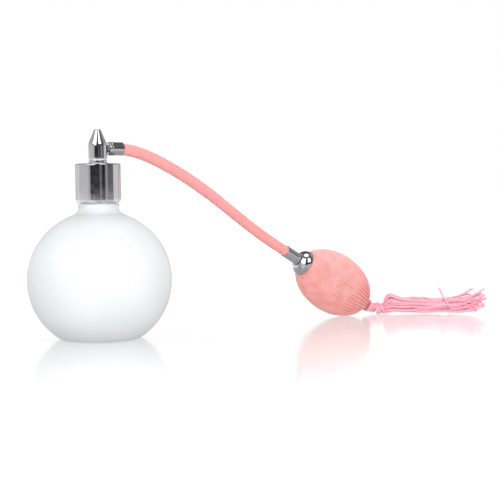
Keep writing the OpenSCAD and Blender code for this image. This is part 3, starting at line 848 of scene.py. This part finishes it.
# Every end has come undone into a few threads
for path, _, _ in list(skirt_cords):
    way = path[-1] - path[-3]
    way = way / np.linalg.norm(way)
    for _ in range(FRAYS):
        swing = chance.normal(0, 0.4, 3)
        long = chance.uniform(0.0012, 0.0028)
        start = path[-1] - way * 0.0007 + chance.normal(0, 0.0002, 3)
        ends = np.array([start + (way * s + swing * s * s * 0.8) * long for s in np.linspace(0, 1, 7)])
        ends[:, 2] = np.maximum(ends[:, 2], 0.0003)
        skirt_cords.append((ends, FRAY_R, 0.003))

tassel = cord_bundle("tassel_cords", skirt_cords, sides=10)
dress(tassel, rayon)
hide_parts("tassel_skirt")
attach(tassel, "tassel")


# ---- Parts that stay as they were drawn ----
# Moulded, turned and rubber pieces inside the collar, head, hose and bulb.

moulded = Finish("white_moulding", IOR=1.49)
moulded.clouded(220.0, 3.0, linear(243, 243, 240), linear(235, 235, 232))
moulded.worn(600.0, 3.0, 0.36, 0.5)
moulded.bump(moulded.noise(2600.0), 0.00002, 0.3)

clear = Finish("clear_tube", Transmission_Weight=0.85, IOR=1.49)
clear.shader.inputs["Base Color"].default_value = linear(246, 250, 249)
clear.worn(500.0, 3.0, 0.12, 0.22)
clear.bump(clear.noise(900.0), 0.00002, 0.3)

foam = Finish("gasket_foam", Roughness=0.8)
foam.clouded(900.0, 3.0, linear(240, 239, 234), linear(226, 225, 219))
foam.bump(foam.noise(5000.0, 2.0), 0.00006, 0.6)

nitrile = Finish("black_nitrile", Roughness=0.5)
nitrile.clouded(700.0, 3.0, linear(30, 30, 31), linear(42, 42, 43))
nitrile.bump(nitrile.noise(3000.0, 2.0), 0.00002, 0.4)

silicone = Finish("pale_silicone", Roughness=0.45)
silicone.clouded(300.0, 3.0, linear(232, 222, 218), linear(224, 212, 208))
silicone.bump(silicone.noise(2000.0, 2.0), 0.00002, 0.3)

for finish, slot_name, members in (
        (moulded, "white_plastic", ("stem_housing", "collar_liner", "head_core", "outlet_valve_body",
                                    "outlet_valve_seat", "intake_valve_body", "intake_valve_cage")),
        (clear, "clear_plastic", ("dip_tube",)),
        (foam, "seal_foam", ("neck_gasket",)),
        (nitrile, "black_rubber", ("stem_seal", "outlet_valve_disc", "intake_valve_disc")),
        (silicone, "hose_rubber", ("hose_tube",)),
        (chrome, "chrome_trim", ("nozzle_insert", "air_spigot"))):
    for name in members:
        dress(frame["nodes"][name], finish)


# ---- Studio ----
# A white gloss table in an even white tent, with two low lamps in front and one overhead. Only
# mirror rays see the tent's panels: bright lamps and pale cards with dark gaps between them.

scene.view_settings.view_transform = "Standard"

wide = 12.0
table = bpy.data.meshes.new("table")
corners = [(-wide, -wide), (wide, -wide), (wide, wide), (-wide, wide)]
table.from_pydata([(x, y, -0.00002) for x, y in corners], [], [(0, 1, 2, 3)])
table_top = bpy.data.objects.new("table", table)
scene.collection.objects.link(table_top)
gloss = Finish("white_gloss_table", IOR=1.5)
gloss.shader.inputs["Base Color"].default_value = (0.14, 0.14, 0.14, 1)
gloss.worn(30.0, 3.0, 0.12, 0.15)
# The table glows, and glows less in an oval pool round the object as painted shade
middle = gloss.node("ShaderNodeVectorMath", {"operation": "SUBTRACT"}, i0=gloss.place(), i1=(0.11, 0.0, 0.0))
painted_shade_pool = gloss.node("ShaderNodeVectorMath", {"operation": "MULTIPLY"},
                  i0=middle.outputs[0], i1=(0.4, 1.0, 0.0))
out = gloss.node("ShaderNodeVectorMath", {"operation": "LENGTH"}, i0=painted_shade_pool.outputs[0])
gloss.feed("Emission Strength", gloss.mapped(out.outputs["Value"], 0.05, 0.26, 0.45, 0.85))
gloss.shader.inputs["Emission Color"].default_value = (1, 1, 1, 1)
table.materials.append(gloss.material)

tent = bpy.data.worlds.new("tent")
scene.world = tent
tent.use_nodes = True
tent.node_tree.nodes.clear()
# The brightest that a panel can be
PANEL_MOST = 4


def sky_node(kind, settings=(), **inputs):
    return add_node(tent.node_tree, kind, settings, inputs)


def panels(value, stops, low, high):
    """Grey panels along a scale from low to high: each stop is (place, brightness)."""
    share = sky_node("ShaderNodeMapRange", i0=value, i1=low, i2=high, i3=0.0, i4=1.0).outputs[0]
    made = sky_node("ShaderNodeValToRGB", i0=share)
    band = made.color_ramp
    while len(band.elements) < len(stops):
        band.elements.new(0.5)
    for element, (at, grey) in zip(band.elements, stops):
        element.position, element.color = (at - low) / (high - low), (*[grey / PANEL_MOST] * 3, 1)
    return made.outputs["Color"]


# The panels' bearings are counted in degrees from this way, rising towards the right of it
front = Vector((-0.4482, -0.8939, 0))
way = sky_node("ShaderNodeTexCoord").outputs["Generated"]
ahead = sky_node("ShaderNodeVectorMath", {"operation": "DOT_PRODUCT"}, i0=way, i1=tuple(front))
aside = sky_node("ShaderNodeVectorMath", {"operation": "DOT_PRODUCT"}, i0=way, i1=(-front.y, front.x, 0))
turn = sky_node("ShaderNodeMath", {"operation": "ARCTAN2"},
                i0=aside.outputs["Value"], i1=ahead.outputs["Value"])
bearing = sky_node("ShaderNodeMath", {"operation": "DEGREES"}, i0=turn.outputs[0]).outputs[0]
upward = sky_node("ShaderNodeSeparateXYZ", i0=way).outputs["Z"]
rise = sky_node("ShaderNodeMath", {"operation": "ARCSINE"}, i0=upward)
height_angle = sky_node("ShaderNodeMath", {"operation": "DEGREES"}, i0=rise.outputs[0]).outputs[0]

# Level with the table, then low cards, then a row of lamps, and a lamp in the roof
level = panels(bearing, [(-180, 1.0), (-172, 1.0), (-168, 0.35), (-154, 0.4), (-148, 1.1), (-112, 1.1),
                         (-106, 0.95), (-56, 0.95), (-50, 0.72), (-43, 0.7), (-39, 0.04), (-4, 0.04),
                         (5, 0.05), (9, 0.26), (17, 0.26), (20, 0.035), (34, 0.035), (37, 0.5), (48, 0.48),
                         (53, 0.2), (80, 0.26), (85, 1.12), (143, 1.12), (147, 0.4), (152, 0.4),
                         (156, 1.0), (180, 1.0)], -180, 180)
low = panels(bearing, [(-180, 1.0), (-172, 1.0), (-168, 0.2), (-150, 0.3), (-140, 0.9), (-75, 0.8),
                       (-50, 0.4), (-45, 1.9), (-20, 1.9), (-14, 0.05), (50, 0.05), (70, 0.1), (90, 0.7),
                       (143, 0.8), (148, 0.25), (153, 0.25), (157, 1.0), (180, 1.0)], -180, 180)
lamps = panels(bearing, [(-180, 0.14), (-150, 0.2), (-138, 0.75), (-76, 0.7), (-68, 2.8), (-18, 2.8),
                         (-14, 0.05), (8, 0.05), (12, 2.8), (46, 2.8), (52, 0.2), (85, 0.24), (100, 0.55),
                         (138, 0.6), (150, 0.2), (180, 0.14)], -180, 180)
roof = panels(height_angle, [(50, 0.0), (58, 0.16), (70, 0.2), (77, 3.0), (90, 3.0)], 50, 90)


def between(value, start, end, below, above):
    """One colour below the start and another above the end, blended in between."""
    share = sky_node("ShaderNodeMapRange", i0=value, i1=start, i2=end, i3=0.0, i4=1.0).outputs[0]
    return sky_node("ShaderNodeMix", {"data_type": "RGBA"}, i0=share, i6=below, i7=above).outputs[2]


mirrored = between(height_angle, 4.0, 8.0, level, low)
mirrored = between(height_angle, 16.0, 22.0, mirrored, lamps)
mirrored = between(height_angle, 54.0, 60.0, mirrored, roof)
mirrored = sky_node("ShaderNodeMix", {"data_type": "RGBA", "blend_type": "MULTIPLY"},
                    i0=1.0, i6=mirrored, i7=(*[PANEL_MOST] * 3, 1))
# Rough glass passes rays that count as both glossy and transmitted, and they see plain white too
ray = sky_node("ShaderNodeLightPath").outputs
solid = sky_node("ShaderNodeMath", {"operation": "SUBTRACT"},
                 i0=ray["Is Glossy Ray"], i1=ray["Is Transmission Ray"])
solid.use_clamp = True
seen = sky_node("ShaderNodeMix", {"data_type": "RGBA"},
                i0=solid.outputs[0], i6=(1.0, 1.0, 1.0, 1), i7=mirrored.outputs[2])
glow = sky_node("ShaderNodeBackground", i0=seen.outputs[2], i1=1.0)
sky_node("ShaderNodeOutputWorld", i0=glow.outputs[0])

for name, place, size, watts in (("overhead", (0.05, 0.1, 0.9), (0.9, 0.6), 1.4),
                                 ("front_left", (-0.60, -0.60, 0.045), (0.5, 0.07), 3.2),
                                 ("front_right", (0.12, -0.92, 0.04), (0.5, 0.07), 3.2)):
    lamp = bpy.data.lights.new(name, "AREA")
    lamp.shape, lamp.size, lamp.size_y, lamp.energy = "RECTANGLE", *size, watts
    lit = bpy.data.objects.new(name, lamp)
    aimed = (Vector((0.06, 0.0, 0.03)) - Vector(place)).to_track_quat("-Z", "Y")
    lit.matrix_world = Matrix.Translation(place) @ aimed.to_matrix().to_4x4()
    lit.visible_glossy = False
    lit.visible_camera = False
    scene.collection.objects.link(lit)
